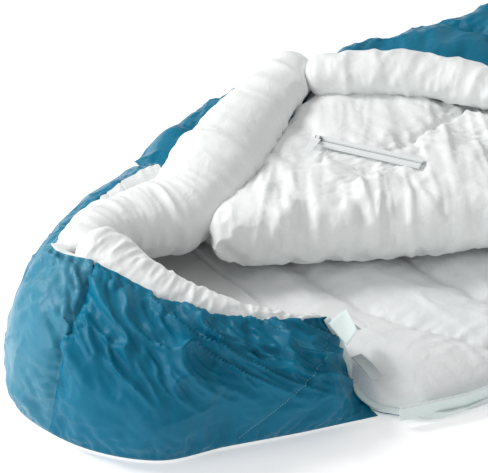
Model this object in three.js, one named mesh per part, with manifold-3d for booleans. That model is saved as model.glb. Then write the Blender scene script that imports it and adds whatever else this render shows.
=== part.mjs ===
// A hooded camp quilt: a side-zip mummy bag laid flat, with the near corner of its top layer
// folded back along a diagonal so that it is used as a quilt.
// Millimetres, +Z up. X runs from the crown of the hood (-X) to the foot (+X), and the long
// zip is on the -Y side. The origin is under the middle of the bag, on the ground.
import * as THREE from 'three';
import { mergeVertices } from 'three/addons/utils/BufferGeometryUtils.js';
import Module from 'manifold-3d';

// Plan of the body.
const NECK_X = -583;
const SHOULDER_X = -380;
const LEGS_END_X = 914;
const SHOULDER_HALF_WIDTH = 392;
const NECK_HALF_WIDTH = 352;
const TAPER = 0.1;

// Layers, from the ground up.
const SKIN = 2.4;
const GAP = 1;
const FLOOR_PAD_BOTTOM = SKIN + GAP;
const FLOOR_PAD_TOP = 66;
const TOP_LINING_BOTTOM = 78;
const TOP_PAD_BOTTOM = TOP_LINING_BOTTOM + SKIN + GAP;
const TOP_PAD_TOP = 127;
const TOP_SHELL_BOTTOM = TOP_PAD_TOP + GAP;
const HINGE_Z = TOP_SHELL_BOTTOM + SKIN + 0.8;
const EDGE_BAND = 90;

// The diagonal that the top layer is folded along.
const FOLD_START_X = -631;
const FOLD_START_Y = 84;
const FOLD_SLOPE = -0.553;
const FOLD_CLEARANCE = 3;
const SLIDER_X = 136;

// The quilted channels, as the X of the seams across the bag.
const FLOOR_SEAMS = [-578, -280, 20, 320, 620, LEGS_END_X];
const TOP_START_X = -574;
const FOLD_END_X = 139.4;
const TOP_SEAMS = [TOP_START_X, -170, FOLD_END_X, 400, 660, LEGS_END_X];
const FLAP_SEAMS = [TOP_START_X, -380, -190, 60];
const SEAM_GAP = 0.4;

// Zips.
const TAPE_THICKNESS = 0.8;
const TAPE_OFFSET = 8;
const LOWER_TAPE_Z = [10, 31];
const LOWER_COIL_Z = [31.4, 34];
const UPPER_COIL_Z = [34.5, 37.1];
const UPPER_TAPE_Z = [37.5, 56];
const COIL_WIDTH = 2.4;
const ZIP_END_X = 880;
const ZIP_START_X = -560;

const nylon = { color: 0x1b7e9f, roughness: 0.42, metalness: 0 };
const lightNylon = { color: 0x6fb0c8, roughness: 0.42, metalness: 0 };
const lining = { color: 0xeceeef, roughness: 0.6, metalness: 0 };
const fill = { color: 0xf7f7f4, roughness: 0.9, metalness: 0 };
const tape = { color: 0xdfedea, roughness: 0.8, metalness: 0 };
const plastic = { color: 0x2a3338, roughness: 0.45, metalness: 0 };
const coilPlastic = { color: 0xcfd8d8, roughness: 0.4, metalness: 0 };
const metal = { color: 0x9aa0a4, roughness: 0.3, metalness: 1 };
const greyTape = { color: 0xb9bdbd, roughness: 0.9, metalness: 0 };

// The plan below is laid out about the neck and the hood, and moved so that the origin is under
// the middle of the whole bag.
const CENTRE = [1.9, -3.1, 0];
const bag = new THREE.Group();
bag.position.set(-CENTRE[0], -CENTRE[1], -CENTRE[2]);

function addPart(name, geometry, look, parent = bag) {
  const mesh = new THREE.Mesh(geometry, new THREE.MeshStandardMaterial(look));
  mesh.name = name;
  parent.add(mesh);
  return mesh;
}

function mix(a, b, t) {
  return a + (b - a) * t;
}

// A box with its points moved: place(u, v, w) takes the unit box to where the piece is.
function shaped(nx, ny, nz, place) {
  const geometry = new THREE.BoxGeometry(1, 1, 1, nx, ny, nz);
  const points = geometry.attributes.position;
  for (let i = 0; i < points.count; i += 1) {
    const at = place(points.getX(i) + 0.5, points.getY(i) + 0.5, points.getZ(i) + 0.5);
    points.setXYZ(i, at[0], at[1], at[2]);
  }
  alignDiagonals(geometry);
  geometry.computeVertexNormals();
  return geometry;
}

// The low face's quads are split along the same diagonals as the high face's, so that the faces
// of two neighbouring layers stay the same distance apart.
function alignDiagonals(geometry) {
  const index = geometry.index;
  const low = geometry.groups[5];
  for (let i = low.start; i < low.start + low.count; i += 6) {
    const [a, b, d, c] = [0, 1, 2, 4].map((k) => index.getX(i + k));
    [a, b, c, a, c, d].forEach((corner, k) => index.setX(i + k, corner));
  }
}

// Half the width of the body at x. The edge beside the zip is straight below the shoulder.
function halfWidth(x) {
  if (x >= SHOULDER_X) {
    return SHOULDER_HALF_WIDTH - TAPER * (x - SHOULDER_X);
  }
  const up = (SHOULDER_X - x) / (SHOULDER_X - NECK_X);
  return mix(SHOULDER_HALF_WIDTH, NECK_HALF_WIDTH, up * up);
}

function nearEdge(x) {
  return -halfWidth(x);
}

function foldLine(x) {
  return FOLD_START_Y + FOLD_SLOPE * (x - FOLD_START_X);
}

// 1 on the edge of the bag, falling to 0 at EDGE_BAND inside it.
function edgeness(x, y) {
  const inside = Math.min(halfWidth(x) - Math.abs(y), EDGE_BAND);
  const t = 1 - Math.max(inside, 0) / EDGE_BAND;
  return t * t;
}

// Upper and lower faces of the two layers. They thin and close together at the sides.
const floorBottom = (x, y) => FLOOR_PAD_BOTTOM + 11 * edgeness(x, y);
const floorTop = (x, y) => FLOOR_PAD_TOP - 40 * edgeness(x, y);
const topBottom = (x, y) => TOP_PAD_BOTTOM - (y > 0 ? 44 : 36) * edgeness(x, y);
const topTop = (x, y) => TOP_PAD_TOP - (y > 0 ? 74 : 66) * edgeness(x, y);
const flapEdgeness = (x, y) => (y < 0 ? edgeness(x, y) : 0);
const flapBottom = (x, y) => TOP_PAD_BOTTOM + 8 * flapEdgeness(x, y);
const flapTop = (x, y) => TOP_PAD_TOP - 14 * flapEdgeness(x, y);

// A layer over the given stations of x, between the lines near(x) and far(x) and the faces low
// and high. Every layer has the same steps between two stations, so that their facets nest.
const STEPS = 3;
const ACROSS = 12;
const BAND_LINES = [0, 25, 55, EDGE_BAND];
const FULL_WIDTH = 2.2 * EDGE_BAND;
function lineAcross(near, far, k) {
  const share = Math.min(1, (far - near) / FULL_WIDTH);
  const last = BAND_LINES.length - 1;
  if (k <= last) {
    return near + BAND_LINES[k] * share;
  }
  if (k >= ACROSS - last) {
    return far - BAND_LINES[ACROSS - k] * share;
  }
  const band = EDGE_BAND * share;
  return mix(near + band, far - band, (k - last) / (ACROSS - 2 * last));
}

function layer(stations, near, far, low, high) {
  const spans = stations.length - 1;
  return shaped(spans * STEPS, ACROSS, 1, (u, v, w) => {
    const step = Math.round(u * spans * STEPS);
    const span = Math.min(Math.floor(step / STEPS), spans - 1);
    const x = mix(stations[span], stations[span + 1], (step - span * STEPS) / STEPS);
    const y = lineAcross(near(x), far(x), Math.round(v * ACROSS));
    return [x, y, mix(low(x, y), high(x, y), w)];
  });
}

// The down channels of a layer: one between each two stations.
function addChannels(name, stations, near, far, low, high, parent) {
  for (let i = 0; i < stations.length - 1; i += 1) {
    const ends = [stations[i] + SEAM_GAP, stations[i + 1] - SEAM_GAP];
    addPart(`${name}_${i + 1}`, layer(ends, near, far, low, high), fill, parent);
  }
}

const above = (face, by) => (x, y) => face(x, y) + by;

// ---- The floor layer.
const floorSheet = (low, high) => layer(FLOOR_SEAMS, nearEdge, halfWidth, low, high);
addPart('floor_shell',
  floorSheet(above(floorBottom, -SKIN - GAP), above(floorBottom, -GAP)), nylon);
addChannels('floor_down_channel', FLOOR_SEAMS, nearEdge, halfWidth, floorBottom, floorTop, bag);
addPart('floor_lining',
  floorSheet(above(floorTop, GAP), above(floorTop, GAP + SKIN)), lining);

// ---- The part of the top layer that stays down: the far side, and the whole leg end.
function topNear(x) {
  return Math.max(foldLine(x) + FOLD_CLEARANCE, nearEdge(x));
}
const topSheet = (low, high) => layer(TOP_SEAMS, topNear, halfWidth, low, high);
addPart('top_shell', topSheet(above(topTop, GAP), above(topTop, GAP + SKIN)), nylon);
addChannels('top_down_channel', TOP_SEAMS, topNear, halfWidth, topBottom, topTop, bag);
addPart('top_lining',
  topSheet(above(topBottom, -GAP - SKIN), above(topBottom, -GAP)), lining);

// ---- The folded corner. It is laid out as when it is closed, in a group turned over about
// the fold.
const foldDirection = new THREE.Vector3(1, FOLD_SLOPE, 0).normalize();
const turnOver = new THREE.Group();
turnOver.position.set(FOLD_START_X, FOLD_START_Y, HINGE_Z);
turnOver.quaternion.setFromAxisAngle(foldDirection, -Math.PI);
bag.add(turnOver);
const flap = new THREE.Group();
flap.position.set(-FOLD_START_X, -FOLD_START_Y, -HINGE_Z);
turnOver.add(flap);

const flapFar = (x) => foldLine(x) - FOLD_CLEARANCE;
const flapSheet = (low, high) => layer(FLAP_SEAMS, nearEdge, flapFar, low, high);
addPart('flap_shell', flapSheet(above(flapTop, GAP), above(flapTop, GAP + SKIN)), nylon, flap);
addChannels('flap_down_channel', FLAP_SEAMS, nearEdge, flapFar, flapBottom, flapTop, flap);
addPart('flap_lining',
  flapSheet(above(flapBottom, -GAP - SKIN), above(flapBottom, -GAP)), lining, flap);

// A soft tube: its ring of points is an oval about the line at(t), flat side first. Its half
// width is a function of t.
function softTube(at, across, up, halfWide, halfHigh, steps) {
  const section = new THREE.Shape();
  section.absellipse(0, 0, 1, 1, 0, Math.PI * 2);
  const ring = section.getPoints(3).slice(0, 12);
  const geometry = new THREE.CylinderGeometry(1, 1, 1, ring.length, steps);
  const points = geometry.attributes.position;
  for (let i = 0; i < points.count; i += 1) {
    const t = points.getY(i) + 0.5;
    const centre = at(t);
    const side = across(t);
    const sx = points.getZ(i) * halfWide(t);
    const sz = points.getX(i) * halfHigh;
    points.setXYZ(i, centre[0] + side[0] * sx + up[0] * sz,
      centre[1] + side[1] * sx + up[1] * sz, centre[2] + side[2] * sx + up[2] * sz);
  }
  geometry.computeVertexNormals();
  return geometry;
}

// The draft tube inside the open part of the long zip, under the flap when it is closed.
const TUBE_HALF_WIDE = 34;
const TUBE_HALF_HIGH = 24;
function besideZip(inset, z, x0, x1) {
  return (t) => {
    const x = mix(x0, x1, t);
    return [x, nearEdge(x) + inset, z];
  };
}
const zipSide = new THREE.Vector3(-TAPER, 1, 0).normalize();
const zipAcross = () => [zipSide.x, zipSide.y, 0];
addPart('flap_draft_tube', softTube(
  besideZip(TUBE_HALF_WIDE + 6, TOP_LINING_BOTTOM - TUBE_HALF_HIGH - GAP, -564, -40),
  zipAcross, [0, 0, 1], () => TUBE_HALF_WIDE, TUBE_HALF_HIGH, 6), lining, flap);


// ---- Hood. The wall stands on base(t), leans in and ends at rim(t): near neck, crown, far neck.
const hoodBase = new THREE.CatmullRomCurve3([
  [-587, -352, 3], [-700, -338, 3], [-820, -304, 3], [-930, -240, 3], [-1000, -130, 3],
  [-1025.7, -5, 3], [-968, 98, 3], [-888, 185, 3], [-798, 252, 3], [-698, 308, 3],
  [-587, 352, 3],
].map((p) => new THREE.Vector3(...p)));
const hoodRim = new THREE.CatmullRomCurve3([
  [-587, -214, 124], [-668, -200, 146], [-750, -165, 172], [-826, -105, 204],
  [-880, -22, 231], [-912, 42, 236], [-868, 92, 218], [-822, 138, 204], [-755, 170, 190],
  [-675, 202, 178], [-587, 232, 168],
].map((p) => new THREE.Vector3(...p)));
const HOOD_WALL = 46;

// The wall stands steeper on the near side than on the far side.
function shoulderShare(t) {
  const s = Math.min(Math.max((t - 0.48) / 0.14, 0), 1);
  return mix(0.82, 0.62, s * s * (3 - 2 * s));
}

function hoodInward(t) {
  const from = hoodBase.getPoint(t);
  const to = new THREE.Vector3(Math.max(from.x, -800), 0, 3);
  return to.sub(from).normalize();
}

// A point of the hood's wall: v from the ground to the rim, depth in from the outside.
function hoodPoint(t, v, depth) {
  const inward = hoodInward(t);
  const base = hoodBase.getPoint(t).addScaledVector(inward, depth);
  const rim = hoodRim.getPoint(t).addScaledVector(inward, depth * 0.75);
  rim.z -= depth * 0.55;
  const shoulder = hoodBase.getPoint(t).addScaledVector(inward, depth - 24);
  shoulder.z = hoodRim.getPoint(t).z * shoulderShare(t) - depth * 0.3;
  const curve = new THREE.QuadraticBezierCurve3(base, shoulder, rim);
  const at = curve.getPoint(v);
  return [at.x, at.y, at.z];
}

function hoodPanel(t0, t1, outer, inner, steps) {
  return shaped(steps, 6, 1, (u, v, w) => hoodPoint(mix(t0, t1, u), v, mix(outer, inner, w)));
}

const HOOD_PANELS = [
  ['near', 0, 0.36, nylon],
  ['crown', 0.363, 0.637, lightNylon],
  ['far', 0.64, 1, nylon],
];
for (const [name, t0, t1, look] of HOOD_PANELS) {
  addPart(`hood_shell_${name}`, hoodPanel(t0, t1, 0, SKIN, 6), look);
  addPart(`hood_down_${name}`, hoodPanel(t0, t1, SKIN + GAP, HOOD_WALL, 6), fill);
  addPart(`hood_lining_${name}`, hoodPanel(t0, t1, HOOD_WALL + GAP, HOOD_WALL + GAP + SKIN, 6), lining);
}

// The hood's floor is cut to the inside of its wall.
function hoodFloorShape(depth) {
  const shape = new THREE.Shape();
  for (let i = 0; i <= 20; i += 1) {
    const t = i / 20;
    const at = hoodBase.getPoint(t).addScaledVector(hoodInward(t), depth);
    const x = Math.min(at.x, -587);
    if (i === 0) {
      shape.moveTo(x, at.y);
    } else {
      shape.lineTo(x, at.y);
    }
  }
  shape.closePath();
  return shape;
}
function hoodFloorPiece(depth, z0, z1) {
  const geometry = new THREE.ExtrudeGeometry(hoodFloorShape(depth), {
    depth: z1 - z0, bevelEnabled: false,
  });
  geometry.translate(0, 0, z0);
  return geometry;
}
addPart('hood_floor_shell', hoodFloorPiece(4, 0, SKIN), nylon);
addPart('hood_floor_down', hoodFloorPiece(HOOD_WALL + 18, FLOOR_PAD_BOTTOM, 56), fill);
addPart('hood_floor_lining', hoodFloorPiece(HOOD_WALL + 20, 56 + GAP, 56 + GAP + SKIN), lining);

// The gathered facing rolled inside the rim, in a near and a far length. Its half width goes
// from wide[0] at t0 to wide[1] at t1.
const FACING_INSET = 40;
const FACING_DROP = 22;
function facing(t0, t1, steps, wide, high) {
  const half = (t) => mix(wide[0], wide[1], t);
  return softTube((t) => {
    const s = mix(t0, t1, t);
    const rim = hoodRim.getPoint(s).addScaledVector(hoodInward(s), FACING_INSET + half(t));
    return [rim.x, rim.y, rim.z - FACING_DROP];
  }, (t) => {
    const inward = hoodInward(mix(t0, t1, t));
    return [-inward.x, -inward.y, 0];
  }, [0, 0, 1], half, high, steps);
}
addPart('hood_facing_near', facing(0.02, 0.44, 8, [7, 27], 17), lining);
addPart('hood_facing_far', facing(0.54, 0.97, 8, [27, 16], 20), lining);

// Neck edge of the corner: a thick down collar, which lies over the neck when the bag is closed.
const COLLAR_HALF_WIDE = 46;
const COLLAR_HALF_HIGH = 51;
const COLLAR_MIDDLE_Z = 77.4;
addPart('flap_neck_collar', softTube(
  (t) => [-574 - GAP - COLLAR_HALF_WIDE, mix(-330, 70, t), COLLAR_MIDDLE_Z],
  () => [-1, 0, 0], [0, 0, 1], () => COLLAR_HALF_WIDE, COLLAR_HALF_HIGH, 6), lining, flap);

// ---- Foot: a padded end, flat towards the legs and round outside.
const FOOT_Z = [4, 122];
const FOOT_REACH = 95;
const FOOT_FLAT_X = LEGS_END_X + 5;
const FOOT_ROUND_X = LEGS_END_X + 9;
function footOutside(angle, v, depth) {
  const belly = 1 - 0.22 * (2 * v - 1) ** 2;
  return [
    FOOT_ROUND_X + Math.cos(angle) * (FOOT_REACH - depth) * belly,
    Math.sin(angle) * (halfWidth(LEGS_END_X) - depth),
    mix(FOOT_Z[0] + depth * 0.1, FOOT_Z[1] - depth * 0.1, v),
  ];
}
function footPiece(depth, inner) {
  return shaped(12, 4, 1, (u, v, w) => {
    const outside = footOutside(mix(-Math.PI / 2, Math.PI / 2, u), v, depth);
    const inside = inner(outside, mix(-Math.PI / 2, Math.PI / 2, u), v);
    return inside.map((value, i) => mix(value, outside[i], w));
  });
}
addPart('foot_shell', footPiece(0, (out, angle, v) => footOutside(angle, v, SKIN)), nylon);
addPart('foot_down', footPiece(SKIN + GAP, (out) => [FOOT_FLAT_X, out[1], out[2]]), fill);
addPart('foot_lining', shaped(1, 1, 1, (u, v, w) => [
  LEGS_END_X + 1 + u * SKIN,
  mix(-1, 1, v) * (halfWidth(LEGS_END_X) - 6),
  mix(FOOT_Z[0] + 2, FOOT_Z[1] - 4, w),
]), lining);

// ---- Long zip. Both tapes stand on edge along the near side.
function zipStrip(x0, x1, zRange, thick, steps) {
  return shaped(steps, 1, 1, (u, v, w) => {
    const x = mix(x0, x1, u);
    const y = nearEdge(x) - TAPE_OFFSET + (v - 0.5) * thick;
    return [x, y, mix(zRange[0], zRange[1], w)];
  });
}
addPart('zip_tape_lower', zipStrip(ZIP_START_X, ZIP_END_X, LOWER_TAPE_Z, TAPE_THICKNESS, 14), tape);
addPart('zip_coil_lower', zipStrip(ZIP_START_X + 6, ZIP_END_X - 6, LOWER_COIL_Z, COIL_WIDTH, 14),
  coilPlastic);
addPart('zip_tape_upper', zipStrip(SLIDER_X + 12, ZIP_END_X, UPPER_TAPE_Z, TAPE_THICKNESS, 4), tape);
addPart('zip_coil_upper', zipStrip(SLIDER_X + 14, ZIP_END_X - 6, UPPER_COIL_Z, COIL_WIDTH, 4),
  coilPlastic);
addPart('zip_bottom_stop', zipStrip(ZIP_END_X - 4, ZIP_END_X - 1, [31.4, 37.1], 3.2, 1), metal);
addPart('zip_top_stop', zipStrip(ZIP_START_X + 1, ZIP_START_X + 5, [31.4, 35], 3.2, 1), metal);

// The other half of the zip lies along the edge of the flap.
function flapStrip(x0, x1, inset, width, z0, z1, steps) {
  return shaped(steps, 1, 1, (u, v, w) => {
    const x = mix(x0, x1, u);
    return [x, nearEdge(x) - inset + (v - 1) * width, mix(z0, z1, w)];
  });
}
const FLAP_TAPE_Z = 104;
addPart('flap_zip_tape', flapStrip(ZIP_START_X, 50, 4, 16, FLAP_TAPE_Z,
  FLAP_TAPE_Z + TAPE_THICKNESS, 8), tape, flap);
addPart('flap_zip_coil', flapStrip(ZIP_START_X + 6, 50, 20.5, 2.6, FLAP_TAPE_Z - 0.8,
  FLAP_TAPE_Z + 1.6, 8), coilPlastic, flap);

// ---- Sliders and pullers. X is along the zip, Y across its tapes and Z out of them. The coils
// run at z = 0, one on each side of y = 0.
const wasm = await Module();
wasm.setup();

function toSolid(geometry) {
  const bare = geometry.clone();
  bare.deleteAttribute('normal');
  bare.deleteAttribute('uv');
  const merged = mergeVertices(bare, 1e-4);
  return new wasm.Manifold(new wasm.Mesh({
    numProp: 3,
    vertProperties: new Float32Array(merged.attributes.position.array),
    triVerts: new Uint32Array(merged.index.array),
  }));
}

function joined(geometries) {
  const whole = geometries.map(toSolid).reduce((sum, next) => sum.add(next));
  const mesh = whole.getMesh();
  const geometry = new THREE.BufferGeometry();
  geometry.setAttribute('position', new THREE.BufferAttribute(mesh.vertProperties, 3));
  geometry.setIndex(new THREE.BufferAttribute(mesh.triVerts, 1));
  geometry.computeVertexNormals();
  return geometry;
}

function boxFrom(x0, x1, y0, y1, z0, z1) {
  const geometry = new THREE.BoxGeometry(x1 - x0, y1 - y0, z1 - z0);
  geometry.translate((x0 + x1) / 2, (y0 + y1) / 2, (z0 + z1) / 2);
  return geometry;
}

const SLIDER_HALF_LONG = 6;
const SLIDER_HALF_WIDE = 4.5;
const SLIDER_INNER = 1.7;
const SLIDER_PLATE = 1.3;
const SLIDER_TOP = SLIDER_INNER + SLIDER_PLATE;
const BAIL_HEIGHT = 3.6;
const BAIL_WIRE = 1;

// postY is the band across the zip where the post between the plates stands.
function sliderBody(postY) {
  const l = SLIDER_HALF_LONG;
  const w = SLIDER_HALF_WIDE;
  const lap = 0.2;
  const bailTop = SLIDER_TOP + BAIL_HEIGHT;
  return joined([
    boxFrom(-l, l, -w, w, SLIDER_INNER, SLIDER_TOP),
    boxFrom(-l, l, -w, w, -SLIDER_TOP, -SLIDER_INNER),
    boxFrom(-l, -l + 2.5, postY[0], postY[1], -SLIDER_INNER - lap, SLIDER_INNER + lap),
    boxFrom(-l + 1, -l + 1 + BAIL_WIRE, -0.8, 0.8, SLIDER_TOP - lap, bailTop),
    boxFrom(l - 1 - BAIL_WIRE, l - 1, -0.8, 0.8, SLIDER_TOP - lap, bailTop),
    boxFrom(-l + 1, l - 1, -0.8, 0.8, bailTop - BAIL_WIRE, bailTop),
  ]);
}

// The puller lies along -X from its end bar, which turns in the bail about Y at the origin.
const PULLER_WIDE = 6;
const PULLER_EYE = [7.5, 3];
function pullerPlate(long, thick) {
  const half = PULLER_WIDE / 2;
  const outline = new THREE.Shape();
  outline.moveTo(0.8, -half);
  outline.lineTo(0.8, half);
  outline.lineTo(-long + 2, half);
  outline.lineTo(-long, half - 2);
  outline.lineTo(-long, -half + 2);
  outline.lineTo(-long + 2, -half);
  outline.closePath();
  const eye = new THREE.Path();
  eye.moveTo(-0.8, -PULLER_EYE[1] / 2);
  eye.lineTo(-0.8 - PULLER_EYE[0], -PULLER_EYE[1] / 2);
  eye.lineTo(-0.8 - PULLER_EYE[0], PULLER_EYE[1] / 2);
  eye.lineTo(-0.8, PULLER_EYE[1] / 2);
  eye.closePath();
  outline.holes.push(eye);
  const geometry = new THREE.ExtrudeGeometry(outline, { depth: thick, bevelEnabled: false });
  geometry.translate(0, 0, -thick / 2);
  return geometry;
}

// A group whose own axes are the zip's: along it, across it and out of it.
function zipGroup(at, along, out, parent) {
  const x = new THREE.Vector3(...along).normalize();
  const z = new THREE.Vector3(...out).normalize();
  const y = new THREE.Vector3().crossVectors(z, x);
  const group = new THREE.Group();
  group.position.set(...at);
  group.quaternion.setFromRotationMatrix(new THREE.Matrix4().makeBasis(x, y, z));
  parent.add(group);
  return group;
}
const PULLER_Z = SLIDER_TOP + 1.3;

const mainZip = zipGroup([SLIDER_X, nearEdge(SLIDER_X) - TAPE_OFFSET, 34.25],
  [1, TAPER, 0], [TAPER, -1, 0], bag);
addPart('zip_slider', sliderBody([0.3, 3.2]), metal, mainZip);
addPart('zip_puller', pullerPlate(30, 1.4), plastic, mainZip).position.set(0, 0, PULLER_Z);

// ---- Zipped pocket inside the flap. Its zip runs along the flap, its slider at the neck end.
const POCKET_ZIP_LONG = 176;
const POCKET_AT = [-436, -157, TOP_LINING_BOTTOM];
const pocket = zipGroup(POCKET_AT, [1, 0, 0], [0, 0, -1], flap);
const half = POCKET_ZIP_LONG / 2;
for (const [side, sign] of [['upper', 1], ['lower', -1]]) {
  const band = (near, far) => [Math.min(sign * near, sign * far), Math.max(sign * near, sign * far)];
  // The tape's outer band is folded under it, which keeps the coil clear of the lining.
  addPart(`pocket_zip_tape_${side}`, joined([
    boxFrom(-half, half, ...band(2.3, 12), 4, 4.8),
    boxFrom(-half, half, ...band(5.4, 12), GAP, 4.1),
  ]), tape, pocket);
}
addPart('pocket_zip_coil', boxFrom(-half + 12, half - 4, -0.95, 0.95, 3.2, 5.6), coilPlastic, pocket);
addPart('pocket_zip_end_box', boxFrom(half - 3.4, half - 0.4, -1.7, 1.7, 3.2, 6.4), metal, pocket);
const POCKET_SLIDER_X = -half + 5;
const pocketSlider = new THREE.Group();
pocketSlider.position.set(POCKET_SLIDER_X, 0, 4.4);
pocket.add(pocketSlider);
addPart('pocket_slider', sliderBody([1.25, 1.9]), metal, pocketSlider);

// The pocket's cloth pull is looped round the bail and hangs to one side of the zip.
const PULL_TAB_LONG = 46;
const PULL_TAB_HALF_WIDE = 6.5;
const PULL_NECK_HALF_WIDE = 2.5;
const PULL_HALF_THICK = 0.6;
const PULL_LOOP = [1.15, 1.75];
const BAIL_Z = SLIDER_TOP + BAIL_HEIGHT - BAIL_WIRE / 2;
function pullTab() {
  const outline = new THREE.Shape();
  outline.absarc(0, 0, PULL_LOOP[1], 0, Math.PI * 2, false);
  const eye = new THREE.Path();
  eye.absarc(0, 0, PULL_LOOP[0], 0, Math.PI * 2, false);
  outline.holes.push(eye);
  const loop = new THREE.ExtrudeGeometry(outline, {
    depth: 2 * PULL_NECK_HALF_WIDE, bevelEnabled: false, curveSegments: 6,
  });
  loop.translate(0, 0, -PULL_NECK_HALF_WIDE);
  loop.rotateY(Math.PI / 2);
  const neck = PULL_NECK_HALF_WIDE;
  const wide = PULL_TAB_HALF_WIDE;
  const thick = PULL_HALF_THICK;
  return joined([
    loop,
    boxFrom(-neck, neck, -7, -1.4, -thick, thick),
    boxFrom(-wide, wide, -PULL_TAB_LONG, -6.8, -thick, thick),
  ]);
}
const pullTabTurn = new THREE.Group();
pullTabTurn.position.set(0, 0, BAIL_Z);
pocketSlider.add(pullTabTurn);
addPart('pocket_pull_tab', pullTab(), tape, pullTabTurn);

// ---- Hook-and-loop tab on the neck corner of the hood, and its soft patch.
const TAB_AT = [-584, -236, 118];
const TAB_LONG = 46;
const TAB_WIDE = 24;
const TAB_SLOPE = -0.32;
const tab = new THREE.Group();
tab.position.set(...TAB_AT);
tab.rotation.set(0, -TAB_SLOPE, 0);
bag.add(tab);
addPart('neck_tab', boxFrom(0, TAB_LONG, -TAB_WIDE / 2, TAB_WIDE / 2, 0, 2), tape, tab);
addPart('neck_tab_hooks', boxFrom(20, TAB_LONG - 3, -TAB_WIDE / 2 + 3, TAB_WIDE / 2 - 3,
  -1.9, -GAP), greyTape, tab);
addPart('neck_loop_patch', layer([-574, -556], () => -316, () => -262,
  above(floorTop, SKIN + 3 * GAP), above(floorTop, SKIN + 3 * GAP + 1.6)), greyTape);

// ---- Hanging loops of webbing on the end of the foot.
const LOOP_OUT = 24;
const LOOP_THICK = 2;
function hangLoop() {
  const outline = new THREE.Shape();
  outline.absarc(0, 0, LOOP_OUT / 2, -Math.PI / 2, Math.PI / 2, false);
  outline.lineTo(-10, LOOP_OUT / 2);
  outline.lineTo(-10, -LOOP_OUT / 2);
  const inner = LOOP_OUT / 2 - LOOP_THICK;
  const eye = new THREE.Path();
  eye.absarc(0, 0, inner, -Math.PI / 2, Math.PI / 2, false);
  eye.lineTo(-10 + LOOP_THICK, inner);
  eye.lineTo(-10 + LOOP_THICK, -inner);
  outline.holes.push(eye);
  const geometry = new THREE.ExtrudeGeometry(outline, {
    depth: 10, bevelEnabled: false, curveSegments: 6,
  });
  geometry.translate(0, 0, -5);
  return geometry;
}
for (const [side, y] of [['near', -110], ['far', 110]]) {
  const loop = addPart(`hang_loop_${side}`, hangLoop(), tape);
  loop.rotation.set(Math.PI / 2, 0, 0);
  loop.position.set(LEGS_END_X + 107, y, 66);
}

export default bag;
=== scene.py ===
import math

import bmesh
import bpy
import numpy as np
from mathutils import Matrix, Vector


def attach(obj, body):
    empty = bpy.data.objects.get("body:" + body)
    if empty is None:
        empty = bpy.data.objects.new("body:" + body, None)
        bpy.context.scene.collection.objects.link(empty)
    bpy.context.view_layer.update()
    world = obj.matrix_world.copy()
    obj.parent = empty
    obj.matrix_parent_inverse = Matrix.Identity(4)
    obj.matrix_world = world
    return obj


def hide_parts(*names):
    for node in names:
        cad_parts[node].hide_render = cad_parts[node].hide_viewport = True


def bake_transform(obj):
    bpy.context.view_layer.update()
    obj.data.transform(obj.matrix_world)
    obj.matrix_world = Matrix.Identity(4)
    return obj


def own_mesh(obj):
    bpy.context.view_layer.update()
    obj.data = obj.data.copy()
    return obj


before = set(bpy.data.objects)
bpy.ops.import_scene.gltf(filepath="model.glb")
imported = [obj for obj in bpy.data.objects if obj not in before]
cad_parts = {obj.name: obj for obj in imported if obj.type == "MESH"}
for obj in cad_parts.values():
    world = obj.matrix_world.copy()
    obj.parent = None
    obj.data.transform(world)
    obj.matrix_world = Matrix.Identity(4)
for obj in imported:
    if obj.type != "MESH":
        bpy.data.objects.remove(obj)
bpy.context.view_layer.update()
bpy.ops.object.select_all(action="DESELECT")
print("frame loaded")

# The plan of the bag is laid out in millimetres about its neck and hood, as in the CAD model,
# and moved by this much so that the origin is under its middle.
centre = np.array([1.9, -3.1, 0.0])
lowest = 0.0003  # the lowest any visual piece may reach, in metres

plan = {
    "neckX": -583.0,
    "shoulderX": -380.0,
    "legsEndX": 914.0,
    "shoulderHalfWidth": 392.0,
    "neckHalfWidth": 352.0,
    "taper": 0.1,
    "foldX": -631.0,
    "foldY": 84.0,
    "foldSlope": -0.553,
    "foldEndX": 139.0,
    "hingeZ": 131.2,
}
foldAlong = np.array([1.0, plan["foldSlope"], 0.0])
foldAlong = foldAlong / np.linalg.norm(foldAlong)
foldAcross = np.array([-foldAlong[1], foldAlong[0], 0.0])


def smooth(t):
    t = np.clip(t, 0.0, 1.0)
    return t * t * (3 - 2 * t)


def mix(a, b, t):
    return a + (b - a) * t


def halfWidth(x):
    x = np.asarray(x, float)
    below = plan["shoulderHalfWidth"] - plan["taper"] * (x - plan["shoulderX"])
    up = (plan["shoulderX"] - x) / (plan["shoulderX"] - plan["neckX"])
    above = mix(plan["shoulderHalfWidth"], plan["neckHalfWidth"], up * up)
    return np.where(x >= plan["shoulderX"], below, above)


def foldLine(x):
    return plan["foldY"] + plan["foldSlope"] * (np.asarray(x, float) - plan["foldX"])


def toFrame(points):
    return (np.asarray(points, float) - centre) / 1000.0


# Smooth noise on numpy arrays, the same on every run.
noiseTable = np.random.default_rng(7).random((64, 64, 64)).astype(np.float32) * 2 - 1


def noiseAt(points, size, seed=0):
    p = np.asarray(points, float) / size + seed * 17.31
    base = np.floor(p).astype(int)
    f = p - base
    f = f * f * (3 - 2 * f)
    total = 0.0
    for dx in (0, 1):
        for dy in (0, 1):
            for dz in (0, 1):
                corner = noiseTable[
                    (base[..., 0] + dx) % 64,
                    (base[..., 1] + dy) % 64,
                    (base[..., 2] + dz) % 64,
                ]
                wx = f[..., 0] if dx else 1 - f[..., 0]
                wy = f[..., 1] if dy else 1 - f[..., 1]
                wz = f[..., 2] if dz else 1 - f[..., 2]
                total = total + corner * wx * wy * wz
    return total


def layers(points, size, seed=0, octaves=3):
    total = 0.0
    share = 1.0
    for k in range(octaves):
        total = total + share * noiseAt(points, size / 2 ** k, seed + k)
        share = share * 0.5
    return total


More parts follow.
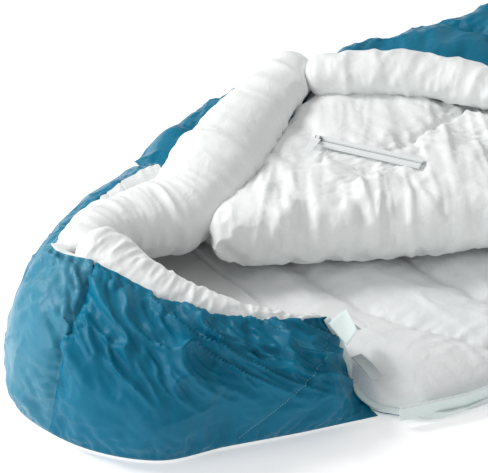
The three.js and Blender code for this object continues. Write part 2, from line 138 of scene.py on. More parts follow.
def makeMesh(name, vertices, faces):
    mesh = bpy.data.meshes.new(name)
    # Nothing dips below the ground.
    vertices = [(v[0], v[1], max(v[2], lowest)) for v in vertices]
    mesh.from_pydata(vertices, [], faces)
    mesh.validate()
    obj = bpy.data.objects.new(name, mesh)
    bpy.context.scene.collection.objects.link(obj)
    work = bmesh.new()
    work.from_mesh(mesh)
    bmesh.ops.recalc_face_normals(work, faces=work.faces)
    work.to_mesh(mesh)
    work.free()
    mesh.polygons.foreach_set("use_smooth", [True] * len(mesh.polygons))
    return obj


# A closed pad from the grid of its upper face and the grid of its lower face. Its edge is
# rounded out by bulge, over the given number of rings.
def pad(name, upper, lower, rings=2, bulge=0.0):
    nu, nv = upper.shape[:2]
    count = nu * nv
    vertices = [upper.reshape(-1, 3), lower.reshape(-1, 3)]
    at = np.arange(count).reshape(nu, nv)
    faces = []
    a, b, c, d = at[:-1, :-1], at[1:, :-1], at[1:, 1:], at[:-1, 1:]
    quads = np.stack([a, b, c, d], -1).reshape(-1, 4)
    faces += quads.tolist()
    faces += (quads[:, ::-1] + count).tolist()
    loop = [(i, 0) for i in range(nu)]
    loop += [(nu - 1, j) for j in range(1, nv)]
    loop += [(i, nv - 1) for i in range(nu - 2, -1, -1)]
    loop += [(0, j) for j in range(nv - 2, 0, -1)]
    rim = np.array([at[i, j] for i, j in loop])
    inner = np.array(
        [at[min(max(i, 1), nu - 2), min(max(j, 1), nv - 2)] for i, j in loop]
    )
    flatUpper = upper.reshape(-1, 3)
    flatLower = lower.reshape(-1, 3)
    out = flatUpper[rim] - flatUpper[inner]
    out = out / np.maximum(np.linalg.norm(out, axis=1, keepdims=True), 1e-6)
    previous = rim
    total = 2 * count
    for r in range(1, rings + 1):
        t = r / (rings + 1)
        ring = mix(flatUpper[rim], flatLower[rim], t) + out * bulge * math.sin(math.pi * t)
        vertices.append(ring)
        index = np.arange(total, total + len(rim))
        total += len(rim)
        faces += stitch(previous, index)
        previous = index
    faces += stitch(previous, rim + count)
    return makeMesh(name, toFrame(np.concatenate(vertices)), faces)


def stitch(first, second):
    after = np.roll(np.arange(len(first)), -1)
    return np.stack([first, second, second[after], first[after]], -1).tolist()


def coordinates(obj):
    co = np.zeros(len(obj.data.vertices) * 3)
    obj.data.vertices.foreach_get("co", co)
    return co.reshape(-1, 3)


def place(obj, points):
    obj.data.vertices.foreach_set("co", np.asarray(points, float).ravel())
    obj.data.update()


# Lets the cloth of a pad swell and wrinkle. held is 1 where a vertex stays put and 0 where it is
# free; slack is how much longer than its shape the cloth is, and cap the furthest it may move, in
# metres.
clothSettings = {"quality": 5, "mass": 0.2, "stiffness": 15.0, "bending": 0.4, "airDamping": 2.0,
                 "pinStiffness": 2.0}


def settle(obj, held, pressure, slack, frames, cap):
    scene = bpy.context.scene
    start = coordinates(obj)
    group = obj.vertex_groups.new(name="held")
    for step in np.unique(np.round(held, 2)):
        if step > 0:
            group.add(np.nonzero(np.round(held, 2) == step)[0].tolist(), float(step), "REPLACE")
    cloth = obj.modifiers.new("cloth", "CLOTH")
    settings = cloth.settings
    settings.quality = clothSettings["quality"]
    settings.mass = clothSettings["mass"]
    settings.tension_stiffness = clothSettings["stiffness"]
    settings.compression_stiffness = clothSettings["stiffness"]
    settings.shear_stiffness = clothSettings["stiffness"] / 3
    settings.bending_stiffness = clothSettings["bending"]
    settings.air_damping = clothSettings["airDamping"]
    settings.use_pressure = True
    settings.uniform_pressure_force = pressure
    settings.shrink_min = -slack
    settings.effector_weights.gravity = 0.0
    settings.vertex_group_mass = "held"
    settings.pin_stiffness = clothSettings["pinStiffness"]
    cloth.point_cache.frame_start = 1
    cloth.point_cache.frame_end = frames
    for f in range(1, frames + 1):
        scene.frame_set(f)
    evaluated = obj.evaluated_get(bpy.context.evaluated_depsgraph_get())
    co = np.zeros(len(obj.data.vertices) * 3)
    evaluated.data.vertices.foreach_get("co", co)
    co = co.reshape(-1, 3)
    obj.modifiers.remove(cloth)
    obj.vertex_groups.remove(group)
    scene.frame_set(1)
    move = co - start
    length = np.linalg.norm(move, axis=1, keepdims=True)
    limit = cap * np.tanh(length / cap) / np.maximum(length, 1e-9)
    place(obj, start + move * limit)


def subdivide(obj, levels=1):
    bpy.ops.object.select_all(action="DESELECT")
    bpy.context.view_layer.objects.active = obj
    obj.select_set(True)
    modifier = obj.modifiers.new("fine", "SUBSURF")
    modifier.levels = levels
    modifier.render_levels = levels
    bpy.ops.object.modifier_apply(modifier=modifier.name)
    obj.select_set(False)


# Distance in the plan from each point to a line through the given points.
def lineDistance(x, y, line):
    line = np.asarray(line, float)
    best = np.full(np.shape(x), 1e9)
    for a, b in zip(line[:-1], line[1:]):
        d = b - a
        t = np.clip(((x - a[0]) * d[0] + (y - a[1]) * d[1]) / (d @ d), 0, 1)
        away = np.hypot(x - a[0] - t * d[0], y - a[1] - t * d[1])
        best = np.minimum(best, away)
    return best


# ---- Materials.
def material(name, colour, roughness=0.5):
    made = bpy.data.materials.new(name)
    made.use_nodes = True
    nodes = made.node_tree.nodes
    shader = nodes["Principled BSDF"]
    shader.inputs["Roughness"].default_value = roughness
    shader.inputs["Base Color"].default_value = (*colour, 1)
    return made, nodes, made.node_tree.links, shader


def linear(hexColour):
    values = [int(hexColour[i : i + 2], 16) / 255 for i in (0, 2, 4)]
    return tuple(v / 12.92 if v <= 0.04045 else ((v + 0.055) / 1.055) ** 2.4 for v in values)


# Woven cloth: its colour wanders a little, threads cross in the bump, and a lighter edge colour is
# painted in where the cloth is seen edge-on, as a painted sheen.
def clothMaterial(name, look):
    made, nodes, links, shader = material(name, linear(look["colour"]), look["roughness"])
    where = nodes.new("ShaderNodeTexCoord")
    broad = nodes.new("ShaderNodeTexNoise")
    broad.inputs["Scale"].default_value = look["patchScale"]
    broad.inputs["Detail"].default_value = 4
    links.new(where.outputs["Object"], broad.inputs["Vector"])
    ramp = nodes.new("ShaderNodeValToRGB")
    ramp.color_ramp.elements[0].position = 0.3
    ramp.color_ramp.elements[0].color = (*linear(look["deep"]), 1)
    ramp.color_ramp.elements[1].position = 0.7
    ramp.color_ramp.elements[1].color = (*linear(look["colour"]), 1)
    links.new(broad.outputs["Fac"], ramp.inputs["Fac"])
    # Painted sheen: the base colour is mixed towards the lighter edge colour where the surface turns
    # away from view.
    facing = nodes.new("ShaderNodeLayerWeight")
    facing.inputs["Blend"].default_value = 0.35
    edge = nodes.new("ShaderNodeMix")
    edge.data_type = "RGBA"
    edge.inputs["B"].default_value = (*linear(look["edge"]), 1)
    scaled = nodes.new("ShaderNodeMath")
    scaled.operation = "MULTIPLY"
    scaled.inputs[1].default_value = look["paintedSheenShare"]
    links.new(facing.outputs["Facing"], scaled.inputs[0])
    links.new(scaled.outputs[0], edge.inputs["Factor"])
    links.new(ramp.outputs["Color"], edge.inputs["A"])
    links.new(edge.outputs["Result"], shader.inputs["Base Color"])
    waves = []
    for axis in ("X", "Y"):
        wave = nodes.new("ShaderNodeTexWave")
        wave.bands_direction = axis
        wave.inputs["Scale"].default_value = look["threadScale"]
        wave.inputs["Distortion"].default_value = 0.6
        wave.inputs["Detail"].default_value = 1
        links.new(where.outputs["Object"], wave.inputs["Vector"])
        waves.append(wave)
    weave = nodes.new("ShaderNodeMath")
    weave.operation = "MAXIMUM"
    links.new(waves[0].outputs["Fac"], weave.inputs[0])
    links.new(waves[1].outputs["Fac"], weave.inputs[1])
    crinkle = nodes.new("ShaderNodeTexNoise")
    crinkle.inputs["Scale"].default_value = look["crinkleScale"]
    crinkle.inputs["Detail"].default_value = 3
    crinkle.inputs["Distortion"].default_value = 0.6
    links.new(where.outputs["Object"], crinkle.inputs["Vector"])
    coarse = nodes.new("ShaderNodeBump")
    coarse.inputs["Strength"].default_value = look["crinkle"]
    coarse.inputs["Distance"].default_value = 0.004
    links.new(crinkle.outputs["Fac"], coarse.inputs["Height"])
    fine = nodes.new("ShaderNodeBump")
    fine.inputs["Strength"].default_value = look["thread"]
    fine.inputs["Distance"].default_value = 0.0003
    links.new(weave.outputs[0], fine.inputs["Height"])
    links.new(coarse.outputs["Normal"], fine.inputs["Normal"])
    links.new(fine.outputs["Normal"], shader.inputs["Normal"])
    rough = nodes.new("ShaderNodeMapRange")
    rough.inputs["To Min"].default_value = look["roughness"] - 0.06
    rough.inputs["To Max"].default_value = look["roughness"] + 0.08
    links.new(crinkle.outputs["Fac"], rough.inputs["Value"])
    links.new(rough.outputs["Result"], shader.inputs["Roughness"])
    shader.inputs["Sheen Weight"].default_value = look["sheen"]
    shader.inputs["Sheen Roughness"].default_value = 0.4
    shader.inputs["Specular IOR Level"].default_value = look["specular"]
    return made


# In each look, edge is the lighter colour painted in as a sheen where the cloth is seen edge-on, and
# the share after it says how much of it is used.
tealLook = {
    "colour": "04708f", "deep": "035f7d", "edge": "1288a8", "paintedSheenShare": 0.25,
    "roughness": 0.33, "patchScale": 3.0, "threadScale": 420.0, "thread": 0.25,
    "crinkleScale": 34.0, "crinkle": 0.6, "sheen": 0.0, "specular": 0.2,
}
# The crown panel is the same teal cloth. This paler, lit copy of it is painted light for the light
# that falls on that panel, and its lighter edge colour is a stronger painted sheen.
paintedLitTealLook = {**tealLook, "colour": "2f7f9a", "deep": "20708c", "edge": "8abccb",
                "specular": 0.3}
liningLook = {
    "colour": "f1f3f2", "deep": "e8ebea", "edge": "f7f8f8", "paintedSheenShare": 0.3,
    "roughness": 0.55, "patchScale": 4.0, "threadScale": 420.0, "thread": 0.2,
    "crinkleScale": 40.0, "crinkle": 0.55, "sheen": 0.2, "specular": 0.35,
}
floorLiningLook = {**liningLook, "colour": "eef0f0", "deep": "e6e9e9"}
teal = clothMaterial("tealNylon", tealLook)
paintedLitTeal = clothMaterial("paintedLitTealNylon", paintedLitTealLook)
lining = clothMaterial("whiteLining", liningLook)
floorLining = clothMaterial("greyLining", floorLiningLook)


def paintFaces(obj, materials, choose):
    for m in materials:
        obj.data.materials.append(m)
    count = len(obj.data.polygons)
    obj.data.polygons.foreach_set("material_index", choose(obj).astype(int)[:count])
    obj.data.update()


# Narrow ridges: p runs across them in millimetres and q along them.
def ridges(p, q, size, stretch, seed):
    flat = np.stack([p, q / stretch, p * 0 + seed * 3.7], -1)
    bend = noiseAt(flat, size * 3.2, seed + 3) * size * 0.9
    n = noiseAt(np.stack([p + bend, q / stretch, p * 0], -1), size, seed)
    return (1 - np.minimum(np.abs(n) * 2.1, 1.0)) ** 1.8


# Cloth gathered by a seam: away is the distance from the seam and along runs down it.
def pucker(away, along, pitch, reach, seed):
    flat = np.stack([along, away * 0.22, along * 0], -1)
    fine = noiseAt(flat, pitch, seed) + 0.5 * noiseAt(flat, pitch * 0.5, seed + 1)
    return fine * np.exp(-away / reach) * smooth(away / 3.0 + 0.35)


def surfaceNormals(grid):
    normal = np.cross(np.gradient(grid, axis=0), np.gradient(grid, axis=1))
    return normal / np.maximum(np.linalg.norm(normal, axis=-1, keepdims=True), 1e-9)


# A smooth curve through the points, with the steps between them shared evenly.
def curveThrough(points, t):
    p = np.asarray(points, float)
    n = len(p) - 1
    t = np.clip(np.asarray(t, float), 0, 1) * n
    i = np.minimum(t.astype(int), n - 1)
    f = (t - i)[..., None]
    p0 = p[np.maximum(i - 1, 0)]
    p1 = p[i]
    p2 = p[i + 1]
    p3 = p[np.minimum(i + 2, n)]
    return 0.5 * (2 * p1 + (p2 - p0) * f + (2 * p0 - 5 * p1 + 4 * p2 - p3) * f * f
                  + (3 * p1 - p0 - 3 * p2 + p3) * f ** 3)


# A closed tube along a curve. half and high are its half width and half height at given shares
# of its length, and relief(along, around) lifts its skin, all in millimetres.
def tube(name, path, half, high, step=6.0, around=30, cap=22.0, relief=None, lean=None):
    dense = curveThrough(path, np.linspace(0, 1, 400))
    length = np.concatenate([[0], np.cumsum(np.linalg.norm(np.diff(dense, axis=0), axis=1))])
    count = max(int(length[-1] / step), 4)
    share = np.linspace(0, 1, count)
    share = share + 0.5 * cap / length[-1] * np.sin(2 * np.pi * share) / np.pi * -0.6
    spots = np.stack([np.interp(share * length[-1], length, dense[:, k]) for k in range(3)], -1)
    along = np.gradient(spots, axis=0)
    along = along / np.linalg.norm(along, axis=1, keepdims=True)
    side = np.cross(along, np.array([0, 0, 1.0]) if lean is None else np.asarray(lean, float))
    side = side / np.linalg.norm(side, axis=1, keepdims=True)
    up = np.cross(side, along)
    toEnd = np.minimum(share, 1 - share) * length[-1]
    close = np.sqrt(np.clip(1 - (1 - np.clip(toEnd / cap, 0.02, 1)) ** 2, 0, 1))
    stops = np.linspace(0, 1, len(half))
    wide = np.interp(share, stops, half) * close
    tall = np.interp(share, np.linspace(0, 1, len(high)), high) * close
    angle = np.linspace(0, 2 * np.pi, around, endpoint=False)
    ring = side[:, None] * (np.cos(angle)[None, :] * wide[:, None])[..., None]
    ring = ring + up[:, None] * (np.sin(angle)[None, :] * tall[:, None])[..., None]
    grid = spots[:, None] + ring
    if relief is not None:
        out = ring / np.maximum(np.linalg.norm(ring, axis=-1, keepdims=True), 1e-6)
        lift = relief(share[:, None] * length[-1] + 0 * angle[None, :],
                      angle[None, :] + 0 * share[:, None])
        grid = grid + out * (lift * close[:, None])[..., None]
    at = np.arange(count * around).reshape(count, around)
    after = np.roll(at, -1, axis=1)
    quads = np.stack([at[:-1], at[1:], after[1:], after[:-1]], -1).reshape(-1, 4).tolist()
    start, end = count * around, count * around + 1
    quads += [(start, int(at[0, k]), int(after[0, k])) for k in range(around)]
    quads += [(end, int(after[-1, k]), int(at[-1, k])) for k in range(around)]
    vertices = np.concatenate([grid.reshape(-1, 3), spots[:1], spots[-1:]])
    return makeMesh(name, toFrame(vertices), quads)


# A flat ribbon along a curve, with its width lying along the given direction at each end.
def ribbon(name, path, wide, thick, first, last, step=6.0):
    dense = curveThrough(path, np.linspace(0, 1, 300))
    length = np.concatenate([[0], np.cumsum(np.linalg.norm(np.diff(dense, axis=0), axis=1))])
    count = max(int(length[-1] / step), 4)
    share = np.linspace(0, 1, count)
    spots = np.stack([np.interp(share * length[-1], length, dense[:, k]) for k in range(3)], -1)
    along = np.gradient(spots, axis=0)
    along = along / np.linalg.norm(along, axis=1, keepdims=True)
    side = mix(np.asarray(first, float), np.asarray(last, float), smooth(share)[:, None])
    side = side - along * np.sum(side * along, axis=1, keepdims=True)
    side = side / np.linalg.norm(side, axis=1, keepdims=True)
    up = np.cross(side, along)
    w = wide / 2
    h = thick / 2
    corners = [(-w, -h), (-w * 0.5, -h * 1.2), (w * 0.5, -h * 1.2), (w, -h),
               (w, h), (w * 0.5, h * 1.2), (-w * 0.5, h * 1.2), (-w, h)]
    grid = np.stack([spots + side * a + up * b for a, b in corners], 1)
    at = np.arange(count * 8).reshape(count, 8)
    after = np.roll(at, -1, axis=1)
    faces = np.stack([at[:-1], at[1:], after[1:], after[:-1]], -1).reshape(-1, 4).tolist()
    faces += [at[0].tolist(), at[-1][::-1].tolist()]
    return makeMesh(name, toFrame(grid.reshape(-1, 3)), faces), length[-1]


# Twice as many rows and columns, on smooth curves through the points there are.
def finer(grid):
    for axis in (0, 1):
        grid = np.moveaxis(np.asarray(grid, float), axis, 0)
        before = np.concatenate([2 * grid[:1] - grid[1:2], grid[:-2]])
        after = np.concatenate([grid[2:], 2 * grid[-1:] - grid[-2:-1]])
        half = (9 * (grid[:-1] + grid[1:]) - before - after) / 16
        both = np.empty((2 * len(grid) - 1,) + grid.shape[1:])
        both[0::2] = grid
        both[1::2] = half
        grid = np.moveaxis(both, 0, axis)
    return grid


# The upper grid of a pad after its cloth has settled, in millimetres.
def settled(name, upper, lower, held, edgeHeld, **sizes):
    obj = pad(name, upper, lower, rings=2, bulge=4.0)
    count = upper.shape[0] * upper.shape[1]
    hold = np.zeros(len(coordinates(obj)))
    hold[:count] = np.asarray(held).ravel()
    hold[count : 2 * count] = 1.0
    hold[2 * count :] = edgeHeld
    settle(obj, hold, **sizes)
    grid = gridOf(obj, upper.shape[0], upper.shape[1]) * 1000.0 + centre
    bpy.data.objects.remove(obj)
    return grid


def gridOf(obj, nu, nv):
    return coordinates(obj)[: nu * nv].reshape(nu, nv, 3)


# Rows of stitches lying on a grid of points. path gives shares of the grid's two sides.
def stitches(name, grid, path, gap=4.2, long=2.6, wide=0.9, lift=0.0004):
    nu, nv = grid.shape[:2]
    dense = curveThrough([(a, b, 0) for a, b in path], np.linspace(0, 1, 700))
    u = np.clip(dense[:, 0], 0, 1) * (nu - 1)
    v = np.clip(dense[:, 1], 0, 1) * (nv - 1)
    i = np.minimum(u.astype(int), nu - 2)
    j = np.minimum(v.astype(int), nv - 2)
    a = (u - i)[:, None]
    b = (v - j)[:, None]
    spots = (grid[i, j] * (1 - a) * (1 - b) + grid[i + 1, j] * a * (1 - b)
             + grid[i, j + 1] * (1 - a) * b + grid[i + 1, j + 1] * a * b)
    normals = surfaceNormals(grid)[i, j]
    length = np.concatenate([[0], np.cumsum(np.linalg.norm(np.diff(spots, axis=0), axis=1))])
    every = gap / 1000
    at = np.arange(every, length[-1] - every, every)
    vertices = []
    faces = []
    for k, d in enumerate(at):
        middle = np.array([np.interp(d, length, spots[:, c]) for c in range(3)])
        ahead = np.array([np.interp(d + 0.001, length, spots[:, c]) for c in range(3)])
        way = (ahead - middle) / max(np.linalg.norm(ahead - middle), 1e-9)
        n = normals[min(int(np.searchsorted(length, d)), len(normals) - 1)]
        side = np.cross(way, n)
        half = long / 2000
        r = wide / 2000
        base = 6 * k
        middle = middle + n * lift
        vertices += [middle - way * half, middle + way * half, middle + side * r,
                     middle - side * r, middle + n * r * 1.2, middle - n * r]
        for p, q in ((2, 4), (4, 3), (3, 5), (5, 2)):
            faces.append((base, base + p, base + q))
            faces.append((base + 1, base + q, base + p))
    return makeMesh(name, vertices, faces)


# ---- Floor of the bag: a quilted pad, lined above and shelled below.
floorLook = {"step": 10.0, "top": 62.0, "edgeTop": 20.0, "openEdgeTop": 7.0, "pillow": 13.0,
             "edgeBand": 105.0}
# Seams across the bag: X on the centre line, and how far each one swings to the foot at the edge.
floorSeams = [(-484, 110), (-330, 60), (-170, 30), (-10, 15), (150, 0), (310, 0), (470, 0),
              (630, 0), (790, 0)]


floorSweep = ([-583, -573, -564, -539, -507, -470, -440], [270, 288, 318, 348, 379, 392, 420])


def acrossSeam(x, y, seams):
    best = np.full(np.shape(x), 1e9)
    for seamX, swing in seams:
        line = seamX + swing * (np.abs(y) / 330.0) ** 2.2
        best = np.minimum(best, np.abs(x - line))
    return best


def buildFloor():
    look = floorLook
    nu = int((plan["legsEndX"] - plan["neckX"]) / look["step"])
    nv = int(2 * plan["shoulderHalfWidth"] / look["step"])
    x = np.linspace(plan["neckX"], plan["legsEndX"], nu)[:, None] * np.ones((1, nv))
    v = np.linspace(-1, 1, nv)[None, :]
    v = np.sign(v) * (1 - (1 - np.abs(v)) ** 1.15)
    half = halfWidth(x)
    # By the neck the near edge sweeps in to meet the hood.
    half = np.where(v < 0, np.minimum(half, np.interp(x, *floorSweep)), half)
    y = half * v
    inside = np.clip((half - np.abs(y)) / look["edgeBand"], 0, 1)
    crown = np.sqrt(np.clip(1 - (1 - inside) ** 2, 0, 1))
    seam = acrossSeam(x, y, floorSeams)
    pillow = 1 - np.exp(-seam / 26.0)
    ends = smooth((x - plan["neckX"]) / 60.0)
    wobble = layers(np.stack([x, y, x * 0], -1), 120.0, 3)
    opened = smooth((60.0 - x) / 200.0) * (y < 0)
    edgeTop = mix(look["edgeTop"], look["openEdgeTop"], opened)
    top = mix(edgeTop, look["top"] - 6, crown) + look["pillow"] * pillow * crown
    top = top + wobble * 2.5 * crown - (1 - ends) * 10
    bottom = 1.0 + 10 * (1 - inside) ** 2 * (1 - opened)
    upper = np.stack([x, y, top], -1)
    lower = np.stack([x, y, bottom], -1)
    held = np.clip(1.2 - seam / 9.0, 0, 1)
    upper = settled("floorDraft", upper, lower, held, 0.6, pressure=2.0, slack=0.04, frames=12,
                    cap=0.008)
    upper, lower, seam, crown, x, y = [finer(g) for g in (upper, lower, seam, crown, x, y)]
    seam = np.maximum(seam, 0)
    wrinkles = 5.0 * pucker(seam, y, 15.0, 34.0, 21) - 5.0 * np.exp(-seam / 5.0)
    wrinkles = wrinkles + 3.0 * (ridges(x, y, 34.0, 3.0, 23) - 0.4)
    wrinkles = wrinkles + 1.6 * (ridges(x + y * 0.4, y, 17.0, 3.0, 25) - 0.4)
    upper[..., 2] += wrinkles * crown
    return pad("floorPad", upper, lower, rings=2, bulge=5.0)


floorPad = buildFloor()
print("floor pad built")

# ---- The part of the top layer that stays down. farLoft lifts it along the far side.
topLook = {"step": 10.5, "top": 128.0, "farEdge": 34.0, "pillow": 14.0, "edgeBand": 48.0,
           "farLoft": 44.0}
# Seams across the shell: X on the centre line, and how far back each one swings at the edge.
topSeams = [(-390, -60), (-240, -115), (-70, -115), (100, -115), (270, -100), (440, -80),
            (610, -60), (780, -40)]


def buildTop():
    look = topLook
    nu = int((plan["legsEndX"] + 574) / look["step"])
    nv = 78
    x = np.linspace(-574, plan["legsEndX"], nu)[:, None] * np.ones((1, nv))
    half = halfWidth(x)
    near = np.maximum(foldLine(x) + 4, -half)
    v = np.linspace(0, 1, nv)[None, :]
    v = 1 - (1 - v) ** 1.25
    y = mix(near, half, v)
    farIn = np.clip((half - y) / look["edgeBand"], 0, 1)
    closedLeg = smooth((x - 60) / 160.0)
    nearIn = np.clip((y + half) / look["edgeBand"], 0, 1)
    crown = np.sqrt(np.clip(1 - (1 - farIn) ** 2, 0, 1))
    nearCrown = np.sqrt(np.clip(1 - (1 - nearIn) ** 2, 0, 1))
    crown = crown * mix(1.0, nearCrown, closedLeg)
    seam = acrossSeam(x, y, topSeams)
    pillow = 1 - np.exp(-seam / 30.0)
    wobble = layers(np.stack([x, y, x * 0], -1), 140.0, 9)
    top = mix(look["farEdge"] + 12, look["top"] - 8, crown) + look["pillow"] * pillow * crown
    loft = look["farLoft"] * smooth((x + 540) / 300.0) - 18 * smooth((-480 - x) / 90.0)
    top = top + loft * smooth((y - 60) / 180.0) * crown
    top = top + wobble * 3 * crown
    bottom = mix(look["farEdge"] - 2, 76.0, crown)
    upper = np.stack([x, y, top], -1)
    lower = np.stack([x, y, bottom], -1)
    held = np.clip(1.2 - seam / 9.0, 0, 1)
    upper = settled("topDraft", upper, lower, held, 0.7, pressure=2.0, slack=0.04, frames=12,
                    cap=0.010)
    upper, lower, seam, crown, x, y = [finer(g) for g in (upper, lower, seam, crown, x, y)]
    seam = np.maximum(seam, 0)
    wrinkles = 4.0 * pucker(seam, y, 17.0, 30.0, 31) - 4.0 * np.exp(-seam / 5.0)
    wrinkles = wrinkles + 4.5 * (ridges(x + y * 0.3, y, 40.0, 2.6, 33) - 0.4)
    wrinkles = wrinkles + 2.5 * (ridges(x - y * 0.4, y, 21.0, 2.6, 35) - 0.4)
    upper[..., 2] += wrinkles * crown
    return pad("topPad", upper, lower, rings=2, bulge=6.0)


topPad = buildTop()
print("top pad built")

# ---- The folded corner, with the roll of cloth where it turns over.
flapLook = {"step": 7.2, "rollOut": 50.0, "thick": 53.0, "rollRows": 28, "rows": 70,
            "edgeThick": 26.0, "wrinkle": 7.5, "startX": -600.0, "endX": 128.0,
            "neckRound": 80.0, "swell": 4.0, "seamDeep": 9.0, "pullDeep": 9.0}
flapLook["columns"] = int((flapLook["endX"] - flapLook["startX"]) / flapLook["step"])
flapSize = (2 * flapLook["columns"] - 1, 2 * (flapLook["rows"] + flapLook["rollRows"]) - 1)
# The way the cloth runs from the fold to its open edge, once it is turned over.
flapWay = (0.847, 0.532)
# Seams in the folded corner, in the plan: out from the pocket, and along the roll.
flapSeams = [
    [(-172, 60), (-60, 86)], [(-172, 60), (-150, -30), (-128, -90)],
    [(-172, 60), (-285, 35), (-352, 18)],
]
pocketLine = [(-420, 80), (-367, 117), (-277, -25)]
# Where the pocket's pull lies, and the strip it passes over when it is drawn along.
pullLine = [(-412, 92), (-368, 122)]
pullSweep = [(-372, 90), (-312, -36)]


def buildFlap():
    look = flapLook
    nu = look["columns"]
    x = np.linspace(look["startX"], look["endX"], nu)[:, None]
    foldY = foldLine(x)
    long = foldY + halfWidth(x)
    taper = smooth((139.0 - x) / 300.0)
    # The end by the neck is rounded off, to lie against the collar.
    toNeck = np.clip((x - look["startX"]) / look["neckRound"], 0, 1)
    neckRound = np.sqrt(np.clip(1 - (1 - toNeck) ** 2, 0, 1))
    thick = look["thick"] * mix(0.4, 1.0, taper) * mix(0.35, 1.0, neckRound)
    phi = np.linspace(0.0, math.pi, look["rollRows"], endpoint=False)[None, :]
    outN = -look["rollOut"] * mix(0.25, 1.0, taper) * np.sin(phi)
    rollZ = plan["hingeZ"] - thick * np.cos(phi)
    sigma = (np.linspace(0, 1, look["rows"]) ** 0.9)[None, :] * long
    flapX = x + sigma * flapWay[0]
    flapY = foldY + sigma * flapWay[1]
    toEdge = np.clip((long - sigma) / 110.0, 0, 1)
    edge = np.sqrt(np.clip(1 - (1 - toEdge) ** 2, 0, 1))
    flapZ = plan["hingeZ"] + 2 + mix(look["edgeThick"], thick - 2, edge)
    upX = np.concatenate([x + outN * foldAcross[0], flapX], 1)
    upY = np.concatenate([foldY + outN * foldAcross[1], flapY], 1)
    upZ = np.concatenate([rollZ, flapZ], 1)
    upper = np.stack([upX, upY, upZ], -1)
    inner = 3.0 * np.sin(phi)
    lowX = np.concatenate([x - inner * foldAcross[0], flapX], 1)
    lowY = np.concatenate([foldY - inner * foldAcross[1], flapY], 1)
    lowZ = np.concatenate([plan["hingeZ"] - 3 * np.cos(phi) + 0 * x,
                           plan["hingeZ"] + 3 + 0 * flapX], 1)
    lower = np.stack([lowX, lowY, lowZ], -1)
    rolled = (phi - math.pi) * look["rollOut"] + 0 * x
    aside = np.concatenate([rolled, sigma * 0.875], 1)
    reach = long + 0 * aside
    along = (upX - plan["foldX"]) * foldAlong[0] + (upY - plan["foldY"]) * foldAlong[1]
    seam = np.minimum.reduce([lineDistance(upX, upY, line) for line in flapSeams])
    seam = np.where(aside < 0, 200.0, seam)
    pocket = np.where(aside < 0, 200.0, lineDistance(upX, upY, pocketLine))
    soft = layers(np.stack([along, aside, along * 0], -1), 120.0, 8)
    normal = surfaceNormals(upper)
    normal = normal * np.sign(normal[nu // 2, -10, 2])
    calm = smooth((pocket - 6.0) / 50.0)
    underPull = np.exp(-np.where(aside < 0, 200.0, lineDistance(upX, upY, pullLine)) ** 2 / 900.0)
    swept = np.where(aside < 0, 200.0, lineDistance(upX, upY, pullSweep))
    underPull = np.maximum(underPull, 0.6 * np.exp(-(swept ** 2) / 700.0))
    dip = (soft * look["swell"] - look["seamDeep"] * np.exp(-seam / 22.0)) * calm
    dip = dip - look["pullDeep"] * underPull
    upper = upper + normal * dip[..., None]
    onSeam = np.clip(1.2 - np.minimum(seam, pocket) / 9.0, 0, 1)
    onSeam[:, :3] = 1.0
    upper = settled("cornerDraft", upper, lower, onSeam, 0.8, pressure=1.5, slack=0.04,
                    frames=12, cap=0.007)
    fine = [finer(g) for g in (upper, lower, along, aside, seam, calm, reach)]
    upper, lower, along, aside, seam, calm, reach = fine
    seam = np.maximum(seam, 0)
    # Long thin wrinkles run across the fold and fan out over the pocket.
    fan = along + 0.16 * aside * (along - 330) / 330.0
    ridge = ridges(fan, aside, 24.0, 6.0, 5) + 0.6 * ridges(fan + 9, aside, 14.0, 5.0, 6)
    patches = smooth(0.6 + noiseAt(np.stack([along, aside, along * 0], -1), 95.0, 12))
    gathered = 4.5 * pucker(seam, along + aside, 14.0, 34.0, 41) - 4.0 * np.exp(-seam / 5.0)
    fade = mix(0.5, 1.0, smooth((190.0 - np.abs(aside)) / 150.0))
    fade = fade * smooth((reach - np.maximum(aside, 0)) / 60.0) * mix(0.35, 1.0, patches)
    normal = surfaceNormals(upper)
    normal = normal * np.sign(normal[nu, -10, 2])
    lift = ((ridge - 0.35) * look["wrinkle"] * fade + gathered) * mix(0.25, 1.0, calm)
    upper = upper + normal * lift[..., None]
    return pad("foldedCorner", upper, lower, rings=2, bulge=5.0)


flapPad = buildFlap()
print("folded corner built")

# ---- Hood wall: outside on the ground line, inside up to the rim.
hoodLook = {"wall": 46.0, "columns": 190, "rows": 42, "tuck": 10.0, "seamShare": 0.42,
            "farSeamShare": 0.64, "seamSlant": 0.045, "diagonal": 15.0, "round": 1330.0,
            "rise": 250.0, "topstitch": 0.187}
hoodSize = (2 * hoodLook["columns"] - 1, 2 * hoodLook["rows"] - 1)
hoodBase = [(-572, -347, 3), (-690, -318, 3), (-808, -284, 3), (-922, -254, 3),
            (-1003, -148, 3), (-1025, -5, 3), (-968, 98, 3), (-888, 185, 3), (-798, 252, 3),
            (-698, 308, 3), (-587, 352, 3)]
hoodRim = [(-587, -214, 124), (-668, -200, 146), (-750, -165, 172), (-826, -105, 204),
           (-880, -22, 231), (-912, 42, 236), (-868, 88, 210), (-822, 134, 188),
           (-755, 172, 180), (-675, 204, 178), (-587, 232, 168)]


def hoodInward(t):
    at = curveThrough(hoodBase, t)
    to = np.stack([np.maximum(at[..., 0], -800.0), at[..., 1] * 0, at[..., 0] * 0 + 3], -1)
    way = to - at
    return way / np.linalg.norm(way, axis=-1, keepdims=True)


